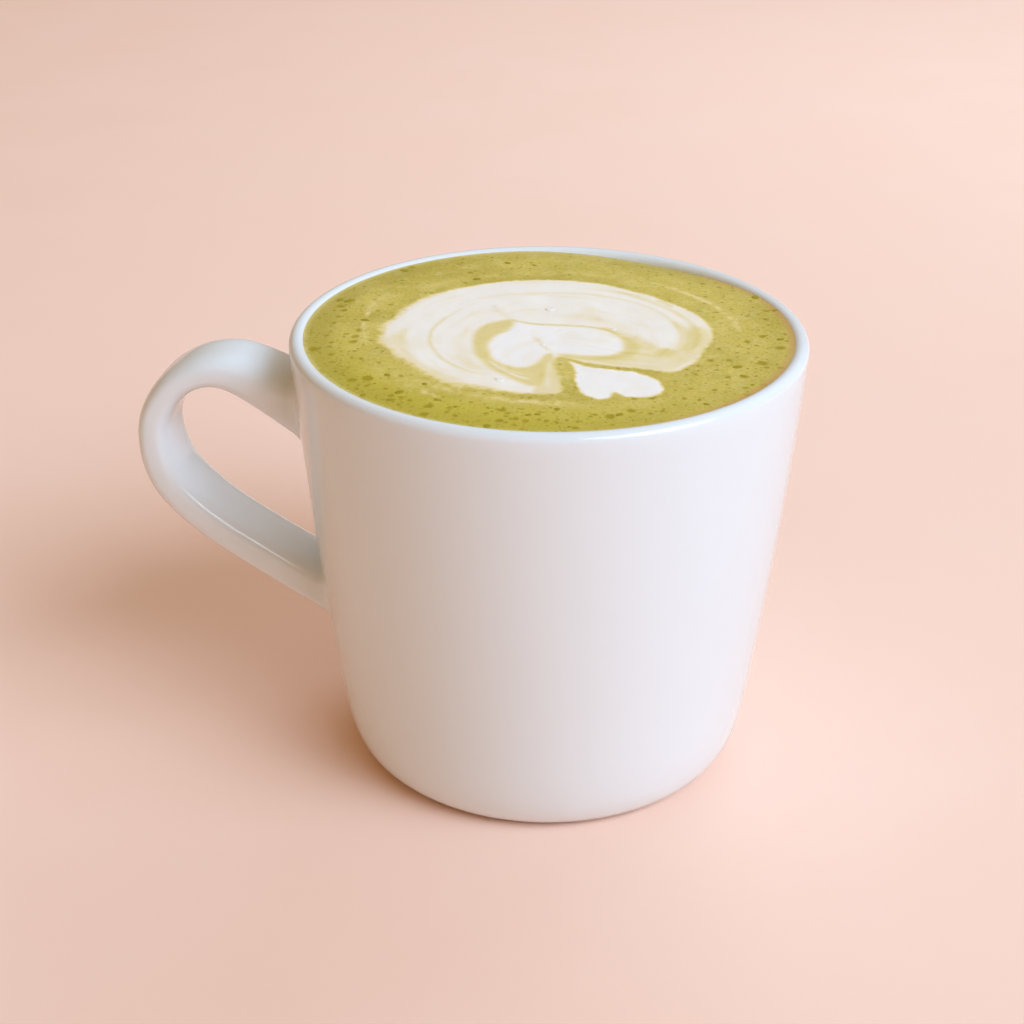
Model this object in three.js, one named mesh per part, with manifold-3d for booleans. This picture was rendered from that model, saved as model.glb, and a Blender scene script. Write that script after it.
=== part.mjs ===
// Matcha latte in a white glazed mug, filled to the brim, with a poured milk pattern on top.
// Millimetres, +Z up. The mug stands on z = 0 and its handle points along -X.

import * as THREE from 'three';
import { mergeVertices } from 'three/addons/utils/BufferGeometryUtils.js';
import Module from 'manifold-3d';

const wasm = await Module();
wasm.setup();

// Sizes of the mug body
const rimRadius = 45;
const mugHeight = 81;
const wallLean = 0.0605;
const wallBend = 0.00056;
const cornerHeight = 23.4;
const cornerUpperPull = 16.4;
const cornerLowerPull = 6.1;
const footOuterRadius = 31.4;
const footInnerRadius = 28.4;
const recessHeight = 1.8;
const lipRadius = 1.45;
const wallThickness = 4.2;
const thinningDepth = 20;
const floorHeight = 7;
const insideCornerWidth = 11;
const insideCornerHeight = 13;
const aroundSteps = 64;

// Sizes of the handle: the middle line as (distance from the axis, height), then the bar
const handleLine = [
  [42.6, 64.1],
  [56.2, 70.9],
  [65.6, 68.9],
  [71.1, 60.9],
  [70.0, 50.6],
  [62.9, 42.3],
  [51.4, 34.5],
  [37.9, 26.6],
];
const barThickness = [10.4, 5.9, 5.9, 7.0, 7.3, 7.9];
const barWidth = 14.2;
const barRoundness = 2.6;
const barFlare = 2.4;
const barRootDepth = 3;
const barSteps = 52;
const barCrowding = 0.6;
const barSides = 20;

// Sizes of the drink and of the milk pattern
const drinkBelowRim = 0.45;
const wallGap = 0.3;
const milkDepth = 1.5;
const milkRise = 0.15;
const milkGap = 0.3;
const milkTurn = THREE.MathUtils.degToRad(7.56);

// Outlines of the milk pattern, seen from above, as points that a smooth closed curve runs through
const ringOutline = [
  [0.4, -27.9], [-10, -25.5], [-18, -21], [-24, -14.5], [-28.4, -6.5], [-28.9, 2], [-26, 10.3],
  [-20, 18.7], [-12, 23.4], [0, 25.7], [12, 22.7], [20, 16.2], [26.3, 8], [28.3, -1], [26.4, -9],
  [22.5, -16], [19.6, -18.4], [14, -16.4], [8, -15], [4.5, -14], [3.7, -13.2], [5, -12.6], [11, -12.9],
  [14.6, -9.5], [14.2, -4], [10, -0.2], [3, 3.4], [-5.5, 6.2], [-9.5, 3.2], [-12.9, -4],
  [-11.7, -13.5], [-7.6, -20.9], [-3.2, -24.3], [-1.2, -22], [-0.5, -15.5], [0.6, -15.4], [1.5, -22],
];
const middleHeartOutline = [
  [0.2, -9], [-1.6, -14], [-4.6, -16.2], [-8.2, -14], [-10.5, -8.5], [-9.2, -2.5], [-7, 1.2],
  [-5.2, 4.2], [1, 2.3], [8, -1.2], [12.6, -6], [11.4, -10.4], [6, -11.2], [2.4, -10],
];
const smallHeartOutline = [
  [3, -13.8], [7, -16.6], [13.2, -18.2], [17.4, -21.8], [17.8, -26.5], [14, -28.7], [10, -27.2],
  [8, -29.3], [5.3, -27.6], [4, -22.5], [4.1, -17.5],
];

// Closed geometry to solid: corners that share a place are merged and empty triangles are dropped
function solidFrom(geometry) {
  const bare = geometry.clone();
  bare.deleteAttribute('normal');
  bare.deleteAttribute('uv');
  const merged = mergeVertices(bare, 1e-4);
  const corners = merged.index.array;
  const kept = [];
  for (let i = 0; i < corners.length; i += 3) {
    const [a, b, c] = [corners[i], corners[i + 1], corners[i + 2]];
    if (a !== b && b !== c && c !== a) {
      kept.push(a, b, c);
    }
  }
  return new wasm.Manifold(new wasm.Mesh({
    numProp: 3,
    vertProperties: new Float32Array(merged.attributes.position.array),
    triVerts: new Uint32Array(kept),
  }));
}

function geometryFrom(solid) {
  const mesh = solid.getMesh();
  const geometry = new THREE.BufferGeometry();
  geometry.setAttribute('position', new THREE.BufferAttribute(mesh.vertProperties, 3));
  geometry.setIndex(new THREE.BufferAttribute(mesh.triVerts, 1));
  geometry.computeVertexNormals();
  return geometry;
}

// Turned solid about the Z axis from a profile of (radius, height) that starts and ends on the axis
function turned(profile) {
  const points = profile.map(([radius, height]) => new THREE.Vector2(radius, height));
  const geometry = new THREE.LatheGeometry(points, aroundSteps);
  geometry.rotateX(Math.PI / 2);
  return solidFrom(geometry);
}

// Outer wall: a slight barrel that leans in towards the base
function outerRadius(height) {
  const depth = mugHeight - height;
  return rimRadius - wallLean * depth - wallBend * depth * depth;
}

// The wall is thin at the lip and reaches its full thickness some way down
function thicknessAt(height) {
  const share = THREE.MathUtils.smoothstep(mugHeight - height, lipRadius, thinningDepth);
  return THREE.MathUtils.lerp(2 * lipRadius, wallThickness, share);
}

const lipHeight = mugHeight - lipRadius;
const lipMiddle = outerRadius(lipHeight) - lipRadius;

// Underside with its recess, foot ring, rounded base, outer wall and the outer half of the lip
function outsideProfile() {
  const profile = [
    [0, recessHeight],
    [footInnerRadius - 1.4, recessHeight],
    [footInnerRadius - 0.4, recessHeight * 0.6],
    [footInnerRadius, 0],
  ];
  const cornerRadius = outerRadius(cornerHeight);
  const lean = wallLean + 2 * wallBend * (mugHeight - cornerHeight);
  const wallDown = new THREE.Vector2(-lean, -1).normalize();
  const footOut = new THREE.Vector2(1, 0.12).normalize();
  const wallEnd = new THREE.Vector2(cornerRadius, cornerHeight);
  const footEnd = new THREE.Vector2(footOuterRadius, 0);
  const corner = new THREE.CubicBezierCurve(
    footEnd,
    footEnd.clone().addScaledVector(footOut, cornerLowerPull),
    wallEnd.clone().addScaledVector(wallDown, cornerUpperPull),
    wallEnd,
  );
  for (const point of corner.getPoints(10)) {
    profile.push([point.x, point.y]);
  }
  const wallRows = 7;
  for (let i = 1; i <= wallRows; i++) {
    const height = THREE.MathUtils.lerp(cornerHeight, lipHeight, i / wallRows);
    profile.push([outerRadius(height), height]);
  }
  const lipRows = 6;
  for (let i = 1; i < lipRows; i++) {
    const angle = (Math.PI * i) / lipRows;
    profile.push([lipMiddle + lipRadius * Math.cos(angle), lipHeight + lipRadius * Math.sin(angle)]);
  }
  return profile;
}

// Inner wall, rounded inner corner and floor, all set in from the mug's inside by the gap
function insideProfile(gap) {
  const profile = [];
  const cornerTop = floorHeight + insideCornerHeight;
  const wallRows = 7;
  for (let i = 0; i < wallRows; i++) {
    const height = THREE.MathUtils.lerp(lipHeight, cornerTop, Math.pow(i / wallRows, 1.3));
    profile.push([outerRadius(height) - thicknessAt(height) - gap, height]);
  }
  const cornerMiddle = outerRadius(cornerTop) - thicknessAt(cornerTop) - insideCornerWidth;
  const cornerRows = 6;
  for (let i = 0; i <= cornerRows; i++) {
    const angle = (Math.PI / 2) * (i / cornerRows);
    profile.push([
      cornerMiddle + (insideCornerWidth - gap) * Math.cos(angle),
      cornerTop - (insideCornerHeight - gap) * Math.sin(angle),
    ]);
  }
  profile.push([0, floorHeight + gap]);
  return profile;
}

// How far a place stands outside the outer wall
function clearOfWall(place) {
  return Math.hypot(place.x, place.y) - outerRadius(place.z);
}

// Near the wall the bar's skin is pushed out along the wall, which rounds the joint off
function flareAtWall(place, sideways) {
  const wallNormal = new THREE.Vector3(place.x, place.y, 0).normalize();
  wallNormal.z = -wallLean - 2 * wallBend * (mugHeight - place.z);
  wallNormal.normalize();
  const share = THREE.MathUtils.clamp(clearOfWall(place) / barFlare, 0, 1);
  const push = barFlare * (1 - Math.sqrt(1 - (1 - share) ** 2));
  place.addScaledVector(sideways.clone().projectOnPlane(wallNormal).normalize(), push);
}

// Handle: a bar of rounded section bent along the middle line. Each strand of its skin has the same
// number of steps between its two meetings with the wall, so both joints have clean edges.
function handleSolid() {
  const line = new THREE.SplineCurve(handleLine.map(([r, z]) => new THREE.Vector2(r, z)));
  const thickness = new THREE.SplineCurve(barThickness.map((t, i) => new THREE.Vector2(i, t)));
  const length = line.getLength();

  const skinAt = (across, along, travel) => {
    const onLine = THREE.MathUtils.clamp(travel, 0, length);
    const t = line.getUtoTmapping(onLine / length);
    const tangent = line.getTangent(t);
    const centre = line.getPoint(t).addScaledVector(tangent, travel - onLine);
    const halfThickness = thickness.getPoint(t).y / 2;
    const sideways = new THREE.Vector3(
      tangent.y * across * halfThickness,
      (along * barWidth) / 2,
      tangent.x * across * halfThickness,
    );
    return { place: new THREE.Vector3(-centre.x, 0, centre.y).add(sideways), sideways };
  };

  const meeting = (across, along, inWall, outside) => {
    let [near, far] = [inWall, outside];
    for (let i = 0; i < 30; i++) {
      const middle = (near + far) / 2;
      if (clearOfWall(skinAt(across, along, middle).place) < 0) {
        near = middle;
      } else {
        far = middle;
      }
    }
    return near;
  };

  const outline = [];
  for (let i = 0; i < barSides; i++) {
    const angle = (2 * Math.PI * i) / barSides;
    const across = Math.sign(Math.cos(angle)) * Math.pow(Math.abs(Math.cos(angle)), 2 / barRoundness);
    const along = Math.sign(Math.sin(angle)) * Math.pow(Math.abs(Math.sin(angle)), 2 / barRoundness);
    outline.push(new THREE.Vector2(across, along));
  }
  const bar = new THREE.ExtrudeGeometry(new THREE.Shape(outline), {
    depth: 1,
    steps: barSteps,
    bevelEnabled: false,
  });
  const position = bar.attributes.position;
  const strands = new Map();
  for (let i = 0; i < position.count; i++) {
    const across = position.getX(i);
    const along = position.getY(i);
    const name = `${across} ${along}`;
    if (!strands.has(name)) {
      const start = meeting(across, along, -barRootDepth, length / 6);
      const end = meeting(across, along, length + barRootDepth, length - length / 6);
      strands.set(name, [start, end]);
    }
    const [start, end] = strands.get(name);
    const step = Math.round(position.getZ(i) * barSteps);
    const share = THREE.MathUtils.clamp((step - 1) / (barSteps - 2), 0, 1);
    const crowded = share - (barCrowding * Math.sin(2 * Math.PI * share)) / (2 * Math.PI);
    let travel = THREE.MathUtils.lerp(start, end, crowded);
    if (step === 0) {
      travel = start - barRootDepth;
    }
    if (step === barSteps) {
      travel = end + barRootDepth;
    }
    const { place, sideways } = skinAt(across, along, travel);
    flareAtWall(place, sideways);
    position.setXYZ(i, place.x, place.y, place.z);
  }
  return solidFrom(bar);
}

function mugSolid() {
  const inside = insideProfile(0);
  const body = turned([...outsideProfile(), ...inside]);
  const hollow = turned([...inside.slice().reverse(), [inside[0][0], mugHeight + 5], [0, mugHeight + 5]]);
  return body.add(handleSolid().subtract(hollow));
}

// Smooth closed outline in the plane of the drink's surface, widened by the given margin
function milkOutline(points, count, margin) {
  const curve = new THREE.CatmullRomCurve3(points.map(([x, y]) => new THREE.Vector3(x, y, 0)), true);
  const outline = [];
  for (let i = 0; i < count; i++) {
    const place = curve.getPointAt(i / count);
    const tangent = curve.getTangentAt(i / count);
    outline.push(new THREE.Vector2(place.x, place.y));
    outline[i].addScaledVector(new THREE.Vector2(-tangent.y, tangent.x), margin);
    outline[i].rotateAround(new THREE.Vector2(0, 0), milkTurn);
  }
  return outline;
}

function milkSolid(points, count, margin, bottom, top) {
  const shape = new THREE.Shape(milkOutline(points, count, margin));
  const geometry = new THREE.ExtrudeGeometry(shape, { depth: top - bottom, bevelEnabled: false });
  geometry.translate(0, 0, bottom);
  return solidFrom(geometry);
}

const drinkTop = mugHeight - drinkBelowRim;

const milkPieces = [
  { name: 'milk_ring', outline: ringOutline, count: 152 },
  { name: 'milk_heart_middle', outline: middleHeartOutline, count: 53 },
  { name: 'milk_heart_small', outline: smallHeartOutline, count: 49 },
];

// Drink: fills the mug to just under the lip, with a shallow pocket for each piece of milk foam
function drinkSolid() {
  const rise = drinkTop - lipHeight;
  const lipRow = (share) => {
    const reach = lipRadius + wallGap;
    const height = rise * share;
    return [lipMiddle - Math.sqrt(reach ** 2 - height ** 2), lipHeight + height];
  };
  const upwards = insideProfile(wallGap).reverse();
  let drink = turned([...upwards, lipRow(0.5), lipRow(1), [0, drinkTop]]);
  for (const { outline, count } of milkPieces) {
    drink = drink.subtract(milkSolid(outline, count, milkGap, drinkTop - milkDepth - milkGap, drinkTop + 2));
  }
  return drink;
}

const glaze = new THREE.MeshStandardMaterial({ color: '#eceaee', roughness: 0.18, metalness: 0 });
const matchaFoam = new THREE.MeshStandardMaterial({ color: '#b9ad50', roughness: 0.5, metalness: 0 });
const milkFoam = new THREE.MeshStandardMaterial({ color: '#f1ebe0', roughness: 0.55, metalness: 0 });

const latte = new THREE.Group();

const mug = new THREE.Mesh(geometryFrom(mugSolid()), glaze);
mug.name = 'mug';
latte.add(mug);

const drink = new THREE.Mesh(geometryFrom(drinkSolid()), matchaFoam);
drink.name = 'matcha_drink';
latte.add(drink);

for (const { name, outline, count } of milkPieces) {
  const solid = milkSolid(outline, count, 0, drinkTop - milkDepth, drinkTop + milkRise);
  const milk = new THREE.Mesh(geometryFrom(solid), milkFoam);
  milk.name = name;
  latte.add(milk);
}

// The origin is below the middle of the whole, so the mug's axis stands to one side of it
mug.geometry.computeBoundingBox();
latte.position.x = -(mug.geometry.boundingBox.min.x + mug.geometry.boundingBox.max.x) / 2;

export default latte;
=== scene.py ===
import math

import bpy
import numpy as np
from mathutils import Matrix, Vector


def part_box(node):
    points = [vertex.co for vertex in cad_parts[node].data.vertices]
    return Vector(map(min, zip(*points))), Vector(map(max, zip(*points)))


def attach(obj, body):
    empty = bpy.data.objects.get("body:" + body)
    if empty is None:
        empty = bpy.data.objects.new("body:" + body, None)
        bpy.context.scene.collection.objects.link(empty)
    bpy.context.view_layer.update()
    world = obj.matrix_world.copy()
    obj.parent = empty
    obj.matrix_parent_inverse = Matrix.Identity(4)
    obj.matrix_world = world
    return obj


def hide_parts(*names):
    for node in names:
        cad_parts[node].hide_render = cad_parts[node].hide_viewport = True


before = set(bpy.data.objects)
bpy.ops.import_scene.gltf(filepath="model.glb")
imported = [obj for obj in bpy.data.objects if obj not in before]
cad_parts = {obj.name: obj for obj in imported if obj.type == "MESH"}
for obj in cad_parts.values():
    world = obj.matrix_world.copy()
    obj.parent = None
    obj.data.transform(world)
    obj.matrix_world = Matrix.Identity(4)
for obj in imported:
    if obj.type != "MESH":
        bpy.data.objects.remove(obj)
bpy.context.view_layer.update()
print("frame loaded")

# Matcha latte in a white glazed mug. Lengths are millimetres, and places are from the mug's axis.
mm = 0.001
randomDraw = np.random.default_rng(7)


def linear(hexColor):
    parts = [int(hexColor[i:i + 2], 16) / 255 for i in (1, 3, 5)]
    return tuple(c / 12.92 if c <= 0.04045 else ((c + 0.055) / 1.055) ** 2.4 for c in parts) + (1.0,)


# adds a node with its settings and fills its sockets with values, other sockets, or nodes' first outputs
def addNode(tree, kind, sockets=None, **settings):
    node = tree.nodes.new(kind)
    for key, value in settings.items():
        setattr(node, key, value)
    for socket, value in (sockets or {}).items():
        if isinstance(value, bpy.types.Node):
            value = value.outputs[0]
        if isinstance(value, bpy.types.NodeSocket):
            tree.links.new(value, node.inputs[socket])
        else:
            node.inputs[socket].default_value = value
    return node


def newMaterial(name):
    material = bpy.data.materials.new(name)
    material.use_nodes = True
    material.node_tree.nodes.clear()
    return material, material.node_tree


def rampStops(ramp, stops):
    elements = ramp.color_ramp.elements
    while len(elements) < len(stops):
        elements.new(0.5)
    for element, (place, color) in zip(elements, stops):
        element.position = place
        element.color = linear(color)


def makePiece(name, verts, faces, material, attributes=None):
    mesh = bpy.data.meshes.new(name)
    mesh.from_pydata(np.asarray(verts).tolist(), [], faces)
    mesh.update()
    for key, values in (attributes or {}).items():
        values = np.asarray(values, dtype=np.float32)
        if values.ndim > 1:
            attribute = mesh.attributes.new(key, "FLOAT_VECTOR", "POINT")
            attribute.data.foreach_set("vector", values.ravel())
        else:
            mesh.attributes.new(key, "FLOAT", "POINT").data.foreach_set("value", values)
    mesh.polygons.foreach_set("use_smooth", [True] * len(mesh.polygons))
    mesh.materials.append(material)
    piece = bpy.data.objects.new(name, mesh)
    bpy.context.scene.collection.objects.link(piece)
    return piece


def smooth(low, high, value):
    share = np.clip((value - low) / (high - low), 0, 1)
    return share * share * (3 - 2 * share)


# runs a smooth line through points, as an evenly stepped Catmull-Rom spline
def splineAt(points, share):
    points = np.asarray(points, float)
    place = np.asarray(share) * (len(points) - 1)
    index = np.minimum(place.astype(int), len(points) - 2)
    w = place - index
    if points.ndim > 1:
        w = w[..., None]
    before = points[np.maximum(index - 1, 0)]
    here = points[index]
    after = points[index + 1]
    later = points[np.minimum(index + 2, len(points) - 1)]
    v0 = (after - before) / 2
    v1 = (later - here) / 2
    return ((2 * here - 2 * after + v0 + v1) * w ** 3 + (3 * after - 3 * here - 2 * v0 - v1) * w ** 2
            + v0 * w + here)


def closedSpline(points, perSpan=6):
    points = np.asarray(points, float)
    wrapped = np.vstack([points[-2:], points, points[:3]])
    spans = len(wrapped) - 1
    share = (2 + np.arange(len(points) * perSpan) / perSpan) / spans
    return splineAt(wrapped, share)


# distance of many points from a line of short pieces, and how far along the line the nearest place is
def distanceTo(points, line, closed=False):
    ends = np.roll(line, -1, axis=0) if closed else line[1:]
    starts = line if closed else line[:-1]
    best = np.full(len(points), 1e9)
    along = np.zeros(len(points))
    for i, (a, b) in enumerate(zip(starts, ends)):
        span = b - a
        t = np.clip(((points - a) @ span) / (span @ span + 1e-12), 0, 1)
        gap = points - a - t[:, None] * span
        distance = np.hypot(gap[:, 0], gap[:, 1])
        nearer = distance < best
        best[nearer] = distance[nearer]
        along[nearer] = (i + t[nearer]) / len(starts)
    return best, along


def signedDistance(points, outline):
    distance, _ = distanceTo(points, outline, closed=True)
    inside = np.zeros(len(points), bool)
    x, y = points.T
    for (ax, ay), (bx, by) in zip(outline, np.roll(outline, -1, axis=0)):
        if ay != by:
            crosses = (ay > y) != (by > y)
            inside ^= crosses & (x < (bx - ax) * (y - ay) / (by - ay) + ax)
    return np.where(inside, distance, -distance)


mugSizes = {
    "height": 81.0,
    "rimRadius": 45.0,
    "wallLean": 0.0605,
    "wallBend": 0.00056,
    "cornerHeight": 23.4,
    "cornerUpperPull": 16.4,
    "cornerLowerPull": 6.1,
    "footOuterRadius": 31.4,
    "footInnerRadius": 28.4,
    "footLean": 0.12,
    "footFlat": (0.25, 1.5),  # from the foot's inner edge
    "footStep": [(-1.5, 1.8), (-0.7, 1.8), (-0.3, 0.9), (-0.1, 0.25)],  # from the same edge up to the recess
    "recess": (4, -1.6),  # from the axis, from the same edge
    "recessHeight": 1.8,
    "lipRadius": 1.45,
    "wallThickness": 4.2,
    "thinningDepth": 20.0,
    "floorHeight": 7.0,
    "insideCornerWidth": 11.0,
    "insideCornerHeight": 13.0,
    "floorMiddle": 10.0,
    "around": 288,
    "steps": {"recess": 8, "footStep": 7, "corner": 30, "wall": 22, "lip": 17, "insideCorner": 14},
    "glaze": "#e9edf0",
    "glazeRoughness": 0.06,
    "glazeIndex": 1.52,
    "peel": {"size": 7.7, "detail": 2.0, "strength": 0.12, "depth": 0.25},
    "speck": "#8d8072",
    "specks": {"spacing": 6.2, "without": 0.93, "radius": 0.035, "strength": 0.35},
    "bareClay": "#d8cbb8",
    "clayRoughness": 0.75,
    "glazeFrom": (0.15, 0.32),  # heights between which the clay goes over into the glaze
}


def outerRadius(height):
    depth = mugSizes["height"] - height
    return mugSizes["rimRadius"] - mugSizes["wallLean"] * depth - mugSizes["wallBend"] * depth ** 2


def wallSlope(height):
    return mugSizes["wallLean"] + 2 * mugSizes["wallBend"] * (mugSizes["height"] - height)


def wallThickness(height):
    share = smooth(mugSizes["lipRadius"], mugSizes["thinningDepth"], mugSizes["height"] - height)
    return 2 * mugSizes["lipRadius"] * (1 - share) + mugSizes["wallThickness"] * share


lipHeight = mugSizes["height"] - mugSizes["lipRadius"]
lipMiddle = outerRadius(lipHeight) - mugSizes["lipRadius"]
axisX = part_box("mug")[1][0] / mm - outerRadius(lipHeight)


def insideRadius(height):
    height = np.asarray(height, float)
    below = outerRadius(height) - wallThickness(height)
    up = np.clip(height - lipHeight, 0, mugSizes["lipRadius"])
    inLip = lipMiddle - np.sqrt(mugSizes["lipRadius"] ** 2 - up ** 2)
    return np.where(height > lipHeight, inLip, below)


# turns a profile of (radius, height) that starts and ends on the axis into a closed mesh
def turned(profile, segments):
    angles = 2 * math.pi * np.arange(segments) / segments
    verts = [(0, 0, profile[0][1])]
    for radius, height in profile[1:-1]:
        verts += [(radius * c, radius * s, height) for c, s in zip(np.cos(angles), np.sin(angles))]
    verts.append((0, 0, profile[-1][1]))
    faces = []
    rows = len(profile) - 2
    last = len(verts) - 1
    for i in range(segments):
        j = (i + 1) % segments
        faces.append((0, 1 + j, 1 + i))
        for row in range(rows - 1):
            a = 1 + row * segments
            b = a + segments
            faces.append((a + i, a + j, b + j, b + i))
        top = 1 + (rows - 1) * segments
        faces.append((top + i, top + j, last))
    return np.array(verts, float), faces


def bezier(points, count):
    t = np.linspace(0, 1, count)[:, None]
    p = [np.array(q, float) for q in points]
    return (1 - t) ** 3 * p[0] + 3 * (1 - t) ** 2 * t * p[1] + 3 * (1 - t) * t * t * p[2] + t ** 3 * p[3]


def mugProfile():
    s = mugSizes
    steps = s["steps"]
    footEdge = s["footInnerRadius"]
    recess = np.linspace(s["recess"][0], footEdge + s["recess"][1], steps["recess"])
    profile = [(0, s["recessHeight"])]
    profile += [(r, s["recessHeight"]) for r in recess]
    profile += [tuple(p) for p in bezier([(footEdge + r, h) for r, h in s["footStep"]], steps["footStep"])]
    profile += [(footEdge + r, 0.0) for r in s["footFlat"]]
    cornerRadius = outerRadius(s["cornerHeight"])
    slope = wallSlope(s["cornerHeight"])
    down = np.array([-slope, -1]) / math.hypot(slope, 1)
    out = np.array([1, s["footLean"]]) / math.hypot(1, s["footLean"])
    foot = np.array([s["footOuterRadius"], 0])
    wall = np.array([cornerRadius, s["cornerHeight"]])
    pulls = [foot, foot + out * s["cornerLowerPull"], wall + down * s["cornerUpperPull"], wall]
    profile += [tuple(p) for p in bezier(pulls, steps["corner"])]
    for height in np.linspace(s["cornerHeight"], lipHeight, steps["wall"])[1:]:
        profile.append((outerRadius(height), height))
    for angle in np.linspace(0, math.pi, steps["lip"])[1:-1]:
        profile.append((lipMiddle + s["lipRadius"] * math.cos(angle),
                        lipHeight + s["lipRadius"] * math.sin(angle)))
    cornerTop = s["floorHeight"] + s["insideCornerHeight"]
    for height in np.linspace(lipHeight, cornerTop, steps["wall"])[:-1]:
        profile.append((outerRadius(height) - wallThickness(height), height))
    middle = outerRadius(cornerTop) - wallThickness(cornerTop) - s["insideCornerWidth"]
    for angle in np.linspace(0, math.pi / 2, steps["insideCorner"]):
        profile.append((middle + s["insideCornerWidth"] * math.cos(angle),
                        cornerTop - s["insideCornerHeight"] * math.sin(angle)))
    profile += [(s["floorMiddle"], s["floorHeight"]), (0, s["floorHeight"])]
    return profile


handleSizes = {
    "line": [(42.6, 64.1), (56.2, 70.9), (65.6, 68.9), (71.1, 60.9), (70.0, 50.6), (62.9, 42.3),
             (51.4, 34.5), (37.9, 26.6)],
    "thickness": [10.4, 5.9, 5.9, 7.0, 7.3, 7.9],
    "width": 13.9,
    "roundness": 3.1,
    "flare": 2.4,
    "rootDepth": 3.0,
    "steps": 190,
    "sides": 64,
    "crowding": 0.7,
    "samples": 1200,  # places at which the length of the middle line is measured
    "tangentStep": 1e-4,
    "halvings": 30,  # of the search for the place where each long line meets the wall
    "clearPart": 6,  # this part of the length in from its ends, the handle is clear of the wall
}


def handleSkin(across, along, travel):
    s = handleSizes
    share = np.linspace(0, 1, s["samples"])
    line = splineAt(s["line"], share)
    walked = np.concatenate([[0], np.cumsum(np.hypot(*np.diff(line, axis=0).T))])
    onLine = np.clip(travel, 0, walked[-1])
    t = np.interp(onLine, walked, share)
    centre = splineAt(s["line"], t)
    ahead = splineAt(s["line"], np.clip(t + s["tangentStep"], 0, 1))
    behind = splineAt(s["line"], np.clip(t - s["tangentStep"], 0, 1))
    tangent = ahead - behind
    tangent /= np.linalg.norm(tangent, axis=-1, keepdims=True)
    centre = centre + tangent * (travel - onLine)[..., None]
    half = splineAt(s["thickness"], t) / 2
    sideways = np.stack([tangent[..., 1] * across * half, along * s["width"] / 2,
                         tangent[..., 0] * across * half], axis=-1)
    place = np.stack([-centre[..., 0], np.zeros_like(half), centre[..., 1]], axis=-1) + sideways
    return place, sideways, walked[-1]


def clearOfWall(place):
    return np.hypot(place[..., 0], place[..., 1]) - outerRadius(place[..., 2])


def handleMesh():
    s = handleSizes
    turn = 2 * math.pi * np.arange(s["sides"]) / s["sides"]
    across = np.sign(np.cos(turn)) * np.abs(np.cos(turn)) ** (2 / s["roundness"])
    along = np.sign(np.sin(turn)) * np.abs(np.sin(turn)) ** (2 / s["roundness"])
    length = handleSkin(across, along, np.zeros(s["sides"]))[2]
    parts = s["clearPart"]
    ends = []
    for inWall, outside in ((-s["rootDepth"], length / parts),
                            (length + s["rootDepth"], length * (parts - 1) / parts)):
        near = np.full(s["sides"], float(inWall))
        far = np.full(s["sides"], float(outside))
        for _ in range(s["halvings"]):
            middle = (near + far) / 2
            inside = clearOfWall(handleSkin(across, along, middle)[0]) < 0
            near = np.where(inside, middle, near)
            far = np.where(inside, far, middle)
        ends.append(near)
    share = np.linspace(0, 1, s["steps"])
    share = share - s["crowding"] * np.sin(2 * math.pi * share) / (2 * math.pi)
    travel = ends[0] + (ends[1] - ends[0]) * share[:, None]
    travel = np.vstack([ends[0] - s["rootDepth"], travel, ends[1] + s["rootDepth"]])
    across = np.broadcast_to(across, travel.shape)
    along = np.broadcast_to(along, travel.shape)
    place, sideways, _ = handleSkin(across, along, travel)
    flat = np.hypot(place[..., 0], place[..., 1])
    normal = np.stack([place[..., 0] / flat, place[..., 1] / flat, -wallSlope(place[..., 2])], axis=-1)
    normal /= np.linalg.norm(normal, axis=-1, keepdims=True)
    outwards = sideways - normal * (sideways * normal).sum(-1, keepdims=True)
    outwards /= np.linalg.norm(outwards, axis=-1, keepdims=True)
    near = np.clip(clearOfWall(place) / s["flare"], 0, 1)
    place = place + outwards * (s["flare"] * (1 - np.sqrt(1 - (1 - near) ** 2)))[..., None]
    rows, sides = travel.shape
    verts = place.reshape(-1, 3)
    faces = []
    for row in range(rows - 1):
        for i in range(sides):
            j = (i + 1) % sides
            a = row * sides
            b = a + sides
            faces.append((a + i, a + j, b + j, b + i))
    faces.append(tuple(reversed(range(sides))))
    faces.append(tuple(range((rows - 1) * sides, rows * sides)))
    return verts, faces


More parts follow.
